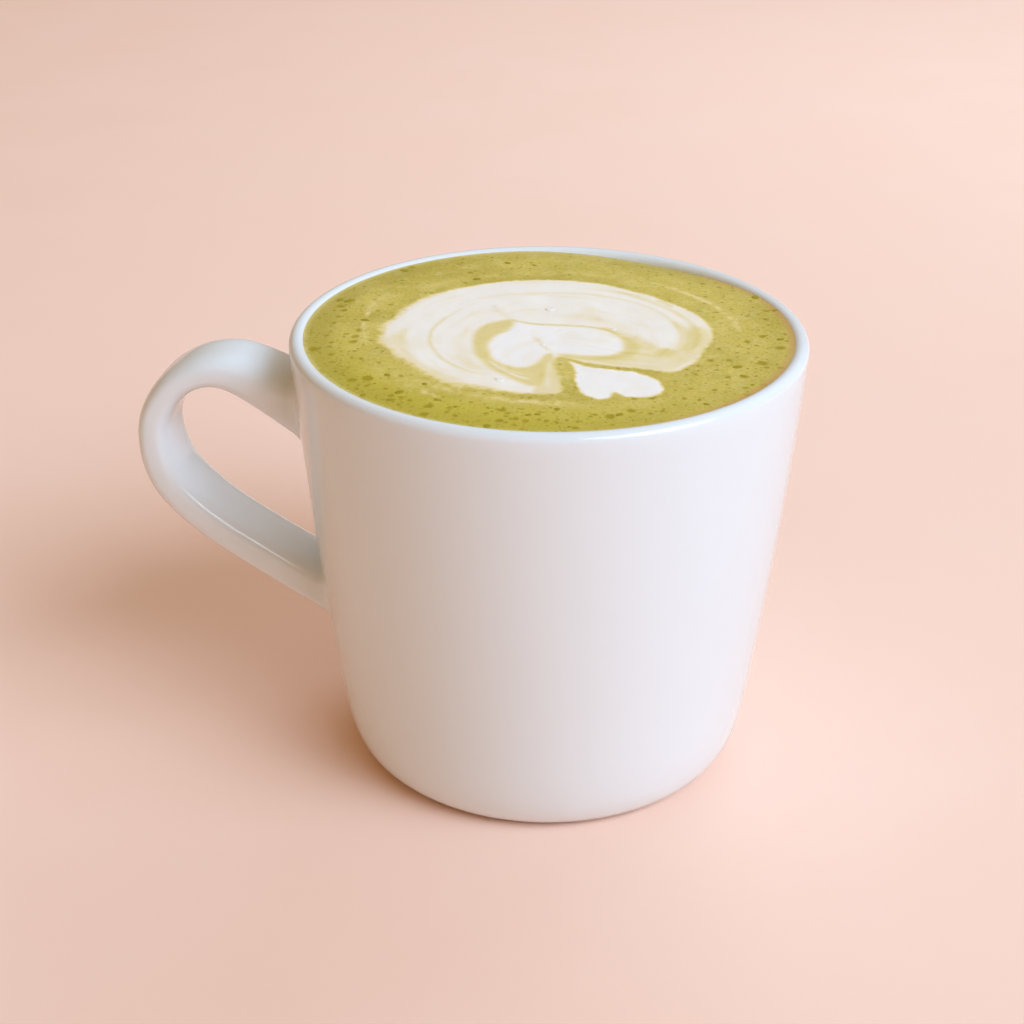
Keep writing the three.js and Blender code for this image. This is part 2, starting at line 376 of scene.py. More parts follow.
# glazed stoneware: a hard white glaze, mirror smooth with a faint orange peel and a rare iron speck,
# and a ring of bare clay where the foot stood in the kiln
def glazedStoneware():
    s = mugSizes
    specks = s["specks"]
    material, tree = newMaterial("glazed_stoneware")
    where = addNode(tree, "ShaderNodeTexCoord").outputs["Object"]
    cells = addNode(tree, "ShaderNodeTexVoronoi", {"Vector": where, "Scale": 1 / (specks["spacing"] * mm)})
    chosen = addNode(tree, "ShaderNodeMath", {0: cells.outputs["Color"], 1: specks["without"]},
                     operation="GREATER_THAN")
    dot = addNode(tree, "ShaderNodeMath", {0: cells.outputs["Distance"], 1: specks["radius"]},
                  operation="LESS_THAN")
    speck = addNode(tree, "ShaderNodeMath", {0: chosen, 1: dot}, operation="MULTIPLY")
    faint = addNode(tree, "ShaderNodeMath", {0: speck, 1: specks["strength"]}, operation="MULTIPLY")
    glaze = addNode(tree, "ShaderNodeMix", {"Factor": faint, "A": linear(s["glaze"]),
                                            "B": linear(s["speck"])}, data_type="RGBA")
    height = addNode(tree, "ShaderNodeSeparateXYZ", {0: where}).outputs["Z"]
    atFoot = addNode(tree, "ShaderNodeMapRange", {"Value": height, "From Min": s["glazeFrom"][1] * mm,
                                                  "From Max": s["glazeFrom"][0] * mm})
    color = addNode(tree, "ShaderNodeMix", {"Factor": atFoot, "A": glaze.outputs["Result"],
                                            "B": linear(s["bareClay"])}, data_type="RGBA")
    rough = addNode(tree, "ShaderNodeMapRange", {"Value": atFoot, "To Min": s["glazeRoughness"],
                                                 "To Max": s["clayRoughness"]})
    peel = addNode(tree, "ShaderNodeTexNoise", {"Vector": where, "Scale": 1 / (s["peel"]["size"] * mm),
                                                "Detail": s["peel"]["detail"]})
    bump = addNode(tree, "ShaderNodeBump", {"Height": peel, "Strength": s["peel"]["strength"],
                                            "Distance": s["peel"]["depth"] * mm})
    shader = addNode(tree, "ShaderNodeBsdfPrincipled", {
        "Base Color": color.outputs["Result"], "Roughness": rough, "IOR": s["glazeIndex"], "Normal": bump})
    addNode(tree, "ShaderNodeOutputMaterial", {"Surface": shader})
    return material


glazeMaterial = glazedStoneware()
bodyVerts, bodyFaces = turned(mugProfile(), mugSizes["around"])
barVerts, barFaces = handleMesh()
count = len(bodyVerts)
mugVerts = (np.vstack([bodyVerts, barVerts]) + [axisX, 0, 0]) * mm
mugFaces = bodyFaces + [tuple(v + count for v in face) for face in barFaces]
mug = makePiece("glazed_mug", mugVerts, mugFaces, glazeMaterial)
print("mug made")


drinkSizes = {
    "belowRim": 0.5,
    "intoWall": 0.25,
    "rows": 144,
    "around": 600,
    "artTurn": 7.56,
    "meniscusRise": 0.16,
    "meniscusWidth": 0.9,
    "lowSide": (58.0, 24.0, 1.0),  # bearing, spread in degrees, drop
    "lowSideWidth": 5.0,
    "ripple": 0.05,
    "rippleFrom": 4.0,  # the ripple dies out over this distance from the wall
    "waves": {"count": 14, "length": (5, 16), "share": 4},
    "sideHeights": [79.0, 76.0, 72.0, 66.0, 60.0, 50.0, 40.0, 30.0],
    "sideDrop": 0.3,
    "cornerSteps": 9,
    "middleGap": 40.0,  # distance from the wall that the middle point is given
    # the poured milk: its middle along the pattern, bearings of its left and front right sides
    "pourMiddle": -2,
    "leftSide": -155,
    "frontRight": -20,
    # green in the milk's outer edge: everywhere, then from and to degrees off a side, and how much
    "fringe": 0.06,
    "leftFringe": (80, 15, 0.14),
    "rightFringe": (60, 20, 0.06),
    "fringeWidth": 2.6,
    "leftBlur": (90, 35, 0.55),
    "milkWhite": (0.93, 0.07),  # of the pour, and what the middle heart adds
    "middleHeartEdge": (-1.2, 0.8),
    "smallHeartEdge": (-0.6, 0.3),
    "flow": (0.55, 2.2),  # across and round the pour
    # what lies where on the green: bearing and spread in degrees, distances from the axis or the wall
    "outer": (24, 41),
    "vivid": (-120, 60),
    # painted shade of the wall on the green: where it is strongest, width from and to in mm, strength
    # everywhere and what that place adds
    "paintedShade": (180, 60),
    "paintedShadeWidth": (8.5, 3.0),
    "paintedShadeStrength": (0.26, 0.22),
    "bubbly": [(-135, 75), (-20, 50)],
    "bubblyStrength": (0.55, 0.45, 0.6),
    "film": [(8, 44), (-35, 34)],
    "filmWidth": (2.0, 0.7),
    "filmStrength": 0.8,
}

# outline of the poured milk as a whole, with the notch at the front
pourOutline = [
    (0.5, -28), (-5, -27.2), (-10, -26), (-15, -24), (-18.4, -21.7), (-21.4, -18.6), (-24.3, -14.2),
    (-27.2, -9.6), (-28.9, -4), (-29.1, 1.5), (-27.8, 6.5), (-25.2, 11.8), (-22.2, 16.2), (-18.5, 19.6),
    (-14, 22.6), (-8, 24.9), (0, 25.9), (6, 25.1), (11, 23.3), (15, 20.4), (19.5, 16.8), (23.6, 12.3),
    (26.8, 7.2), (28.3, 2), (28.2, -3.5), (26.4, -9), (23.8, -14.2), (21.2, -17.8), (19.2, -18.5),
    (15, -17), (10, -15.8), (5.2, -14.1), (2.6, -12.3), (1.2, -12.3), (1.0, -16), (1.5, -21), (1.9, -25.5),
]
smallHeartOutline = [
    (3.1, -13.8), (6.2, -16), (10, -17.3), (14, -18.4), (16.6, -20.4), (18, -23.4), (17.9, -26.4),
    (16.2, -28.2), (13.6, -28.8), (11.3, -28.2), (10, -26.9), (9.5, -28.6), (8.3, -29.5), (6.5, -29),
    (4.8, -26.8), (4.1, -23.5), (3.9, -20), (4.1, -17.5),
]
middleHeartOutline = [
    (0.2, -9.4), (-1.6, -14), (-4.6, -16.5), (-8.2, -14.6), (-10.4, -8.5), (-9.2, -2.5), (-7.2, 1),
    (-6.3, 4.6), (-4, 3.4), (1, 2.2), (8, -0.6), (12.4, -5), (12.2, -9.6), (6.5, -11.2), (2.4, -10.4),
]
# where the green shows through the milk: outline, strength, soft width on the outside and inside
milkPools = [
    ([(-0.4, -11), (-1.4, -13.4), (-2.8, -16), (-5.4, -16.8), (-8.3, -15), (-10, -12), (-10.7, -8),
      (-10.3, -4.5), (-9.1, -1.7), (-7.3, 0.4), (-6.4, 2.8), (-6.6, 5), (-8.8, 4.2), (-11.3, 2.2),
      (-12.6, -1.6), (-12.7, -6), (-12.1, -11), (-10.6, -15), (-8, -19), (-5.1, -22.2), (-2.8, -23.9),
      (-1.7, -22), (-1.2, -18), (-0.7, -14)],
     0.52, 1.3, 0.6),
    ([(12.9, -3.2), (14.6, -5.4), (14.9, -8.6), (13.2, -11.4), (9, -12.9), (5, -12.6), (1.6, -11),
      (3.6, -10.7), (7, -11.5), (10.4, -11.2), (12.4, -9.2), (12.9, -6.4)], 0.3, 1.1, 0.5),
    ([(10, 1.4), (13.4, -1), (16.6, -4.4), (19.3, -8.1), (21.6, -8), (23.6, -3), (25.2, 2), (27.6, 0.5),
      (27.6, -6), (25, -11.5), (21, -17), (18.6, -17.6), (12, -15.6), (5, -13), (2.6, -11.8), (8, -12),
      (12.4, -10), (13.1, -6.6), (12.4, -3), (10.8, -0.6)], 0.3, 1.4, 1.0),
    ([(0.2, -10.2), (0.9, -14), (1.3, -20), (1.9, -27.8), (-2.8, -27), (-2.0, -23), (-1.4, -18),
      (-0.5, -13)],
     0.34, 0.6, 0.5),
    ([(18.6, -9.2), (19.6, -8.4), (20.8, -9.6), (19.8, -11), (18.4, -10.6)], 0.26, 1.4, 0.4),
    ([(-24.8, 1), (-25.6, -5), (-24.9, -10), (-22.6, -15), (-18.6, -19.4), (-14, -22.6), (-9, -24.6),
      (-9.4, -25.6), (-16, -23.4), (-21.8, -18.6), (-25.6, -12.4), (-27.4, -6), (-27, -1)], 0.15, 1.0, 1.0),
]
# soft green lines in the milk: points, half width, strength
milkStains = [
    ([(-6.8, 5.6), (-4.6, 4.1), (-1, 3.1), (4, 2.6), (8, 1.6), (10.6, 0), (12.6, -3)], 0.45, 0.46),
    ([(-14.8, 11.4), (-17.8, 6.6), (-19.9, 1.6), (-20.5, -4), (-19.5, -9), (-17.4, -13.6), (-14, -17.6),
      (-10.4, -19.9)], 0.38, 0.3),
    ([(-24.9, 1.4), (-25.3, -4), (-24.5, -9), (-22.4, -14), (-19, -18.4), (-14.5, -21.9)], 0.9, 0.22),
    ([(-13, 15.8), (-8, 17.6), (-2, 18.7), (4, 18.7), (10, 17.4), (15.4, 14.2), (19.6, 9.4), (22, 4),
      (22.9, -1.2), (22.3, -5.4), (20.6, -8.6)], 0.55, 0.22),
    ([(8, 21.6), (14, 18.8), (19.4, 13.6), (23, 8.6), (25.2, 3), (25.6, -3), (24, -8.4)], 0.7, 0.28),
    ([(19.6, 15.4), (21.2, 13.8), (22.6, 11.6)], 0.6, 0.3),
    ([(-9.5, 12.8), (-9.2, 10.4), (-7.7, 7.6), (-6.8, 5.8)], 0.8, 0.15),
    ([(22, 5), (23.9, 0), (24.4, -5), (22.8, -9.4)], 1.2, 0.3),
    ([(-2.6, -2.6), (-1.7, -4.8), (-0.9, -7.2), (0.2, -9.6)], 0.55, 0.26),
    ([(-9.4, -21), (-8, -22.4)], 0.5, 0.3),
    ([(-13.4, 1.4), (-15.4, -4), (-15, -10), (-12.8, -15.6), (-9.4, -20.2)], 1.3, 0.14),
    ([(2, 7.4), (7, 6.2), (11.6, 3.4), (15.4, -0.8)], 1.8, 0.13),
    ([(6.6, 11.6), (8, 8), (9.2, 4.4)], 1.0, 0.12),
    ([(1, -13), (1.4, -18), (1.9, -24)], 0.5, 0.3),
]
# paler lines left inside the green pools
paleLines = [
    ([(-10.2, -13.6), (-8.2, -17), (-5.4, -20.2), (-3.2, -21.6)], 0.45, 0.5),
    ([(-8.4, -15.6), (-6.2, -18.2), (-3.6, -19.6)], 0.3, 0.3),
    ([(24, -1), (24.4, -5), (22.4, -10.6), (18.4, -14.8), (12, -14)], 1.0, 0.12),
    ([(-0.2, -14), (-0.5, -19), (-0.6, -25)], 0.5, 0.25),
]
# pale milk drawn out into the green: points, half width, strength
greenStreaks = [
    ([(-29, 19), (-31.6, 12), (-32.2, 6), (-32, 0), (-31, -7)], 0.9, 0.34),
    ([(-30.6, -12), (-27.6, -18.4), (-23, -24.6), (-17, -29.6)], 1.8, 0.2),
    ([(-21, -26.4), (-19.4, -28), (-17.6, -29.2)], 1.6, 0.1),
    ([(2.1, -12.6), (2.8, -17), (2.9, -24)], 1.1, 0.3),
    ([(19, 25), (25, 19.4), (30, 12.4), (32.6, 5), (33, -1)], 0.8, 0.4),
    ([(-25, 19), (-17, 25.4), (-8, 28.8), (2, 29.6), (12, 27.4), (20, 22)], 1.8, 0.2),
    ([(-24, -20), (-16, -26), (-7, -29.6), (0, -30.6), (4, -31)], 1.6, 0.26),
    ([(20, -18), (26, -12), (29.6, -5), (30, 3), (28, 10)], 1.3, 0.16),
    ([(-10, -29), (0, -31.4), (10, -32), (18, -29.6)], 1.4, 0.16),
]


def drinkLevel(bearing):
    middle, spread, drop = drinkSizes["lowSide"]
    away = (np.degrees(bearing) - middle + 180) % 360 - 180
    return mugSizes["height"] - drinkSizes["belowRim"] - drop * np.exp(-(away / spread) ** 2)


def ripple(x, y):
    waves = drinkSizes["waves"]
    total = np.zeros_like(x)
    for _ in range(waves["count"]):
        angle, phase = randomDraw.uniform(0, 2 * math.pi, 2)
        wave = randomDraw.uniform(*waves["length"])
        total += np.sin((x * math.cos(angle) + y * math.sin(angle)) * 2 * math.pi / wave + phase)
    return total / waves["share"]


def drinkMesh():
    s = drinkSizes
    turn = math.radians(s["artTurn"])
    bearing = 2 * math.pi * np.arange(s["around"]) / s["around"]
    level = drinkLevel(bearing - turn)
    edge = insideRadius(level + s["meniscusRise"]) + s["intoWall"]
    share = np.linspace(0, 1, s["rows"] + 1)[1:]
    radius = share[:, None] * edge
    x = radius * np.cos(bearing)
    y = radius * np.sin(bearing)
    gap = edge - radius
    flat = mugSizes["height"] - s["belowRim"]
    height = flat + (level - flat) * np.exp(-(gap / s["lowSideWidth"]) ** 2)
    height += s["meniscusRise"] * np.exp(-gap / s["meniscusWidth"] * 2)
    height += s["ripple"] * ripple(x, y) * smooth(0.0, s["rippleFrom"], gap)
    rim = height[-1]
    rows = [np.stack([x, y, height], axis=-1).reshape(-1, 3)]
    cornerTop = mugSizes["floorHeight"] + mugSizes["insideCornerHeight"]
    side = [(float(insideRadius(h)) + s["intoWall"], h) for h in s["sideHeights"]]
    middle = outerRadius(cornerTop) - wallThickness(cornerTop) - mugSizes["insideCornerWidth"]
    for angle in np.linspace(0, math.pi / 2, s["cornerSteps"]):
        side.append((middle + (mugSizes["insideCornerWidth"] + s["intoWall"]) * math.cos(angle),
                     cornerTop - (mugSizes["insideCornerHeight"] + s["intoWall"]) * math.sin(angle)))
    for r, h in side:
        low = np.minimum(rim - s["sideDrop"], h) if h == s["sideHeights"][0] else np.full_like(rim, h)
        rows.append(np.stack([r * np.cos(bearing), r * np.sin(bearing), low], axis=-1))
    verts = np.vstack([[[0, 0, float(height[0].mean())]]] + rows + [[[0, 0, side[-1][1]]]])
    n = s["around"]
    rings = s["rows"] + len(side)
    faces = []
    for i in range(n):
        j = (i + 1) % n
        faces.append((0, 1 + i, 1 + j))
        faces.append((1 + (rings - 1) * n + j, 1 + (rings - 1) * n + i, len(verts) - 1))
    for row in range(rings - 1):
        a = 1 + row * n
        for i in range(n):
            j = (i + 1) % n
            faces.append((a + i, a + n + i, a + n + j, a + j))
    c, q = math.cos(-turn), math.sin(-turn)
    art = np.stack([verts[:, 0] * c - verts[:, 1] * q, verts[:, 0] * q + verts[:, 1] * c], axis=-1)
    rimGap = np.concatenate([[s["middleGap"]], gap.reshape(-1), np.zeros(n * len(side) + 1)])
    return verts, faces, art, rimGap


# a stroke fades and narrows towards both ends
strokeShape = {
    "perPoint": 8,  # steps along the line for each of its points
    "fade": 5,  # one part in this many at each end fades
    "taper": 0.02,  # the least that is left at the ends
    "width": (0.4, 0.6),  # share of the width at the ends, and what the middle adds
}


def strokeField(points, strokes):
    s = strokeShape
    field = np.zeros(len(points))
    for line, width, strength in strokes:
        path = splineAt(line, np.linspace(0, 1, s["perPoint"] * len(line)))
        distance, along = distanceTo(points, path)
        taper = np.sqrt(np.clip(np.minimum(along, 1 - along) * s["fade"], s["taper"], 1))
        reach = width * (s["width"][0] + s["width"][1] * taper)
        field = field + strength * taper * np.exp(-(distance / reach) ** 2) * (1 - field)
    return field


def drinkFields(art):
    s = drinkSizes
    ring = signedDistance(art, closedSpline(pourOutline))
    heart = signedDistance(art, closedSpline(smallHeartOutline))
    middleHeart = smooth(*s["middleHeartEdge"], signedDistance(art, closedSpline(middleHeartOutline)))
    bearing = np.degrees(np.arctan2(art[:, 1] - s["pourMiddle"], art[:, 0]))
    fromLeft = np.abs((bearing - s["leftSide"] + 180) % 360 - 180)
    fromRight = np.abs(bearing - s["frontRight"])
    leftFrom, leftTo, leftShare = s["leftFringe"]
    rightFrom, rightTo, rightShare = s["rightFringe"]
    fringe = (s["fringe"] + leftShare * smooth(leftFrom, leftTo, fromLeft)
              + rightShare * smooth(rightFrom, rightTo, fromRight))
    body = s["milkWhite"][0] + s["milkWhite"][1] * middleHeart
    green = 1 - body * (1 - fringe * (1 - smooth(0, s["fringeWidth"], ring)))
    green = 1 - (1 - green) * (1 - strokeField(art, milkStains))
    for outline, strength, outside, inside in milkPools:
        pool = strength * smooth(-outside, inside, signedDistance(art, closedSpline(outline)))
        green = 1 - (1 - green) * (1 - pool)
    green *= 1 - strokeField(art, paleLines)
    green *= 1 - smooth(*s["smallHeartEdge"], heart)
    streak = strokeField(art, greenStreaks)
    radians = np.radians(bearing)
    across, along = s["flow"]
    flow = np.stack([ring * across, np.cos(radians) * along, np.sin(radians) * along], axis=-1)

    # on the left the milk fades into the green
    blurFrom, blurTo, blurShare = s["leftBlur"]
    blurred = ring * (1 - blurShare * smooth(blurFrom, blurTo, fromLeft))
    return np.maximum(blurred, heart), green, streak, flow


def bearingBump(art, middle, spread):
    bearing = np.degrees(np.arctan2(art[:, 1], art[:, 0]))
    return np.exp(-(((bearing - middle + 180) % 360 - 180) / spread) ** 2)


# milk foam coloured with matcha: white where the milk was poured, green round it, with fine open bubbles
foamLooks = {
    "milkToMatcha": [(0.0, "#fcf4ee"), (0.2, "#f8ead4"), (0.45, "#eedaa2"), (0.75, "#dfc876"),
                     (1.0, "#d5bd60")],
    "tearing": 1.1,
    "milkEdge": (-0.6, 0.65),
    "uneven": (0.2, 0.8),
    "green": (0.62, 0.98),  # amounts of matcha between which the tints set in
    # what each mask follows, from, to, strength
    "masks": {"creamyLines": ("drawnOut", 0.5, 0.74, 0.13), "faintClouds": ("clouds", 0.45, 0.75, 0.08),
              "broken": ("rough", 0.62, 1.25, 1.25), "atWall": ("rimGap", 1.5, 0.35, 0.5)},
    # tints of the green: what each follows, from, to, strength, color
    "tints": [
        ("drifts", 0.4, 0.66, 1.0, "#c5ae50"),
        ("patches", 0.48, 0.72, 0.3, "#e6d58e"),
        ("mottle", 0.46, 0.7, 0.22, "#e6d58e"),
        ("leafPatches", 0.5, 0.72, 0.26, "#abaa4a"),
        ("mottle", 0.54, 0.3, 0.24, "#aaa446"),
        ("vivid", 0.0, 1.0, 0.75, "#c6b43a"),
        # painted shade: darker green against the wall, most on the left
        ("paintedShade", 0.0, 1.0, 1.0, "#a4903f"),
    ],
    # noises that the tints follow: size in mm and detail
    "cloudSizes": {"drifts": (16.7, 3.0), "clouds": (5.9, 4.0), "leafPatches": (3.3, 4.0),
                   "patches": (2.4, 4.0), "wisps": (1.43, 3.0), "mottle": (0.67, 3.0), "grain": (0.42, 2.0)},
    "pit": "#a08b16",
    "pitStrength": 0.78,
    "pitEdge": (-0.13, 0.15),
    # size of the cells in mm, share of them that hold a pit, widest pit as a share of a cell, depth of color
    "pitLayers": [(2.9, 0.5, 0.36, 1.0), (1.6, 0.55, 0.38, 0.85), (0.8, 0.6, 0.42, 0.5)],
    "pitShift": (1.2, 2.4, 2.0),  # how far, size and detail of the noise
    "nearWall": "#e2d090",
    "film": "#c79a5a",
    "relief": {"share": 0.3, "strength": 0.5, "depth": 0.2},
    "roughness": 0.55,
    "index": 1.34,
    "shine": 0.2,
    "scatter": {"share": 0.2, "radius": (1.2, 1.0, 0.6), "scale": 0.5},
}


def matchaMicrofoam():
    s = foamLooks
    material, tree = newMaterial("matcha_milk_microfoam")
    where = addNode(tree, "ShaderNodeTexCoord").outputs["Object"]
    follows = {name: addNode(tree, "ShaderNodeAttribute", attribute_name=name).outputs["Fac"]
               for name in ("edge", "green", "streak", "vivid", "paintedShade", "bubbly", "rimGap", "film")}
    for name, (size, detail) in s["cloudSizes"].items():
        noise = addNode(tree, "ShaderNodeTexNoise", {"Vector": where, "Scale": 1 / (size * mm),
                                                     "Detail": detail})
        follows[name] = noise.outputs[0]
    flow = addNode(tree, "ShaderNodeAttribute", attribute_name="flow").outputs["Vector"]
    follows["drawnOut"] = addNode(tree, "ShaderNodeTexNoise", {"Vector": flow, "Scale": 1.0, "Detail": 4.0})
    follows["rough"] = addNode(tree, "ShaderNodeMath", {0: follows["wisps"], 1: follows["clouds"]},
                               operation="ADD")
    masks = {name: addNode(tree, "ShaderNodeMapRange", {"Value": follows[followed], "From Min": low,
                                                        "From Max": high, "To Max": strength},
                           interpolation_type="SMOOTHSTEP")
             for name, (followed, low, high, strength) in s["masks"].items()}

    # the edge of the milk is torn by a fraction of a millimetre
    torn = addNode(tree, "ShaderNodeMath", {0: follows["rough"], 1: s["tearing"], 2: -s["tearing"]},
                   operation="MULTIPLY_ADD")
    tornEdge = addNode(tree, "ShaderNodeMath", {0: follows["edge"], 1: torn}, operation="ADD")
    low, high = s["milkEdge"]
    inMilk = addNode(tree, "ShaderNodeMapRange", {"Value": tornEdge, "From Min": low, "From Max": high},
                     interpolation_type="SMOOTHSTEP")

    # the flow leaves creamy lines and faint clouds in it
    veil = addNode(tree, "ShaderNodeMath", {0: masks["creamyLines"], 1: masks["faintClouds"]},
                   operation="ADD")
    wavering = addNode(tree, "ShaderNodeMath", {0: follows["wisps"], 1: follows["drawnOut"]},
                       operation="ADD")
    uneven = addNode(tree, "ShaderNodeMath", {0: wavering, 1: s["uneven"][0], 2: s["uneven"][1]},
                     operation="MULTIPLY_ADD")
    stained = addNode(tree, "ShaderNodeMath", {0: follows["green"], 1: uneven, 2: veil},
                      operation="MULTIPLY_ADD", use_clamp=True)
    clear = addNode(tree, "ShaderNodeMath", {0: 1.0, 1: stained}, operation="SUBTRACT")
    white = addNode(tree, "ShaderNodeMath", {0: inMilk, 1: clear}, operation="MULTIPLY")

    # and some of it is drawn out into the green
    milk = addNode(tree, "ShaderNodeMath", {0: follows["streak"], 1: masks["broken"], 2: white},
                   operation="MULTIPLY_ADD", use_clamp=True)
    matcha = addNode(tree, "ShaderNodeMath", {0: 1.0, 1: milk}, operation="SUBTRACT", use_clamp=True)
    ramp = addNode(tree, "ShaderNodeValToRGB", {"Fac": matcha})
    rampStops(ramp, s["milkToMatcha"])

    # the green is clouded: paler, leafier, more vivid towards the front left, and darker towards the wall as
    # painted shade
    low, high = s["green"]
    onGreen = addNode(tree, "ShaderNodeMapRange", {"Value": matcha, "From Min": low, "From Max": high},
                      interpolation_type="SMOOTHSTEP")
    color = ramp.outputs["Color"]
    for name, low, high, strength, tint in s["tints"]:
        mask = addNode(tree, "ShaderNodeMapRange", {"Value": follows[name], "From Min": low,
                                                    "From Max": high, "To Max": strength},
                       interpolation_type="SMOOTHSTEP")
        share = addNode(tree, "ShaderNodeMath", {0: mask, 1: onGreen}, operation="MULTIPLY")
        color = addNode(tree, "ShaderNodeMix", {"Factor": share, "A": color, "B": linear(tint)},
                        data_type="RGBA").outputs["Result"]

    # open bubbles: small dark pits of three sizes in the green, hardly any in the milk
    reach, size, detail = s["pitShift"]
    reach *= mm
    shift = addNode(tree, "ShaderNodeTexNoise", {"Vector": where, "Scale": 1 / (size * mm), "Detail": detail})
    shaken = addNode(tree, "ShaderNodeVectorMath", {0: shift.outputs["Color"], 1: (reach, reach, 0.0),
                                                    2: where}, operation="MULTIPLY_ADD")
    low, high = s["pitEdge"]
    pits = None
    for cell, share, widest, strength in s["pitLayers"]:
        cells = addNode(tree, "ShaderNodeTexVoronoi", {"Vector": shaken, "Scale": 1 / (cell * mm)},
                        voronoi_dimensions="2D")
        chance = addNode(tree, "ShaderNodeSeparateColor", {0: cells.outputs["Color"]})
        allowed = addNode(tree, "ShaderNodeMath", {0: follows["bubbly"], 1: share}, operation="MULTIPLY")
        wanted = addNode(tree, "ShaderNodeMath", {0: allowed, 1: chance}, operation="SUBTRACT")
        radius = addNode(tree, "ShaderNodeMapRange", {"Value": wanted, "From Max": share, "To Max": widest},
                         interpolation_type="SMOOTHSTEP")
        depth = addNode(tree, "ShaderNodeMath", {0: radius, 1: cells.outputs["Distance"]},
                        operation="SUBTRACT")
        pit = addNode(tree, "ShaderNodeMapRange", {"Value": depth, "From Min": low, "From Max": high,
                                                   "To Max": strength}, interpolation_type="SMOOTHSTEP")
        pits = addNode(tree, "ShaderNodeMath", {0: pits, 1: pit}, operation="MAXIMUM") if pits else pit
    pits = addNode(tree, "ShaderNodeMath", {0: pits, 1: onGreen}, operation="MULTIPLY")
    inPit = addNode(tree, "ShaderNodeMath", {0: pits, 1: s["pitStrength"]}, operation="MULTIPLY")
    color = addNode(tree, "ShaderNodeMix", {"Factor": inPit, "A": color, "B": linear(s["pit"])},
                    data_type="RGBA").outputs["Result"]

    # the foam thins out against the wall and leaves a brownish film on the right
    for mask, tint in ((masks["atWall"], "nearWall"), (follows["film"], "film")):
        color = addNode(tree, "ShaderNodeMix", {"Factor": mask, "A": color, "B": linear(s[tint])},
                        data_type="RGBA").outputs["Result"]

    fine = addNode(tree, "ShaderNodeMath", {0: follows["grain"], 1: follows["wisps"]}, operation="ADD")
    relief = addNode(tree, "ShaderNodeMath", {0: fine, 1: s["relief"]["share"]}, operation="MULTIPLY")
    sunken = addNode(tree, "ShaderNodeMath", {0: relief, 1: pits}, operation="SUBTRACT")
    bump = addNode(tree, "ShaderNodeBump", {"Height": sunken, "Strength": s["relief"]["strength"],
                                            "Distance": s["relief"]["depth"] * mm})
    scatter = s["scatter"]
    shader = addNode(tree, "ShaderNodeBsdfPrincipled", {
        "Base Color": color, "Roughness": s["roughness"], "IOR": s["index"], "Specular IOR Level": s["shine"],
        "Normal": bump, "Subsurface Weight": scatter["share"], "Subsurface Radius": scatter["radius"],
        "Subsurface Scale": scatter["scale"] * mm})
    addNode(tree, "ShaderNodeOutputMaterial", {"Surface": shader})
    return material


foamMaterial = matchaMicrofoam()
drinkVerts, drinkFaces, art, rimGap = drinkMesh()
edge, green, streak, flow = drinkFields(art)
fromAxis = np.hypot(art[:, 0], art[:, 1])
outward = smooth(*drinkSizes["outer"], fromAxis)
vivid = bearingBump(art, *drinkSizes["vivid"]) * outward
# painted shade: the green darkens within a few millimetres of the wall, most on the left side away from the
# windows
paintedShadeEverywhere, paintedShadeAdded = drinkSizes["paintedShadeStrength"]
paintedShadeByBearing = paintedShadeEverywhere + paintedShadeAdded * bearingBump(art, *drinkSizes["paintedShade"])
paintedShade = smooth(*drinkSizes["paintedShadeWidth"], rimGap) * paintedShadeByBearing
bubblyAll, bubblyMore, secondShare = drinkSizes["bubblyStrength"]
bubblyLeft, bubblyRight = (bearingBump(art, *place) for place in drinkSizes["bubbly"])
bubbly = bubblyAll + bubblyMore * np.maximum(bubblyLeft * outward, secondShare * bubblyRight * outward)
filmBack, filmFront = (bearingBump(art, *place) for place in drinkSizes["film"])
filmed = drinkSizes["filmStrength"] * np.maximum(filmBack, filmFront)
film = filmed * smooth(*drinkSizes["filmWidth"], rimGap)
drink = makePiece("matcha_latte_foam", (drinkVerts + [axisX, 0, 0]) * mm, drinkFaces, foamMaterial, {
    "edge": edge, "green": green, "streak": streak, "flow": flow, "vivid": vivid, "paintedShade": paintedShade,
    "bubbly": bubbly, "rimGap": rimGap, "film": film})
print("drink made")


# thin skinned bubbles that stand on the foam: the tea shows through most of them as dark olive ovals
bubbleSizes = {
    "smallest": 0.2,
    "largest": 0.78,
    "perSquareMm": 0.036,
    "flatness": 0.08,
    "stretch": 1.5,
    "rarity": 2.6,
    "dome": (10, 6),  # segments and rings
    "from": (24, 38),  # distances from the axis between which the bubbles set in
    "clearOfWall": 0.7,
    "clearOfMilk": -1,
    "seed": 11,
    "index": 1.33,
    "shine": 0.12,
    "olive": "#a6942a",
    "oliveRoughness": 0.5,
    "clear": "#f6efe6",
    "clearRoughness": 0.25,
    # bubbles that stand in the white: place in the pattern's axes, radius
    "inMilk": [(0.5, 10.6, 0.95), (-8.3, -21.9, 0.75), (11.3, 0.9, 0.55), (-1.1, -6.3, 0.5),
               (-9.2, 12.2, 0.4)],
    "inMilkHeight": 0.13,
    "inMilkSunk": -0.2,
    "inMilkArc": (-0.5, 1.35, 6),  # from, to, steps
    "inMilkAround": 20,
}


# a wet film of tea or milk over an air bubble, with next to no shine
def bubbleSkin(name, color, roughness):
    material, tree = newMaterial(name)
    shader = addNode(tree, "ShaderNodeBsdfPrincipled", {
        "Base Color": linear(color), "Roughness": roughness, "IOR": bubbleSizes["index"],
        "Specular IOR Level": bubbleSizes["shine"]})
    addNode(tree, "ShaderNodeOutputMaterial", {"Surface": shader})
    return material


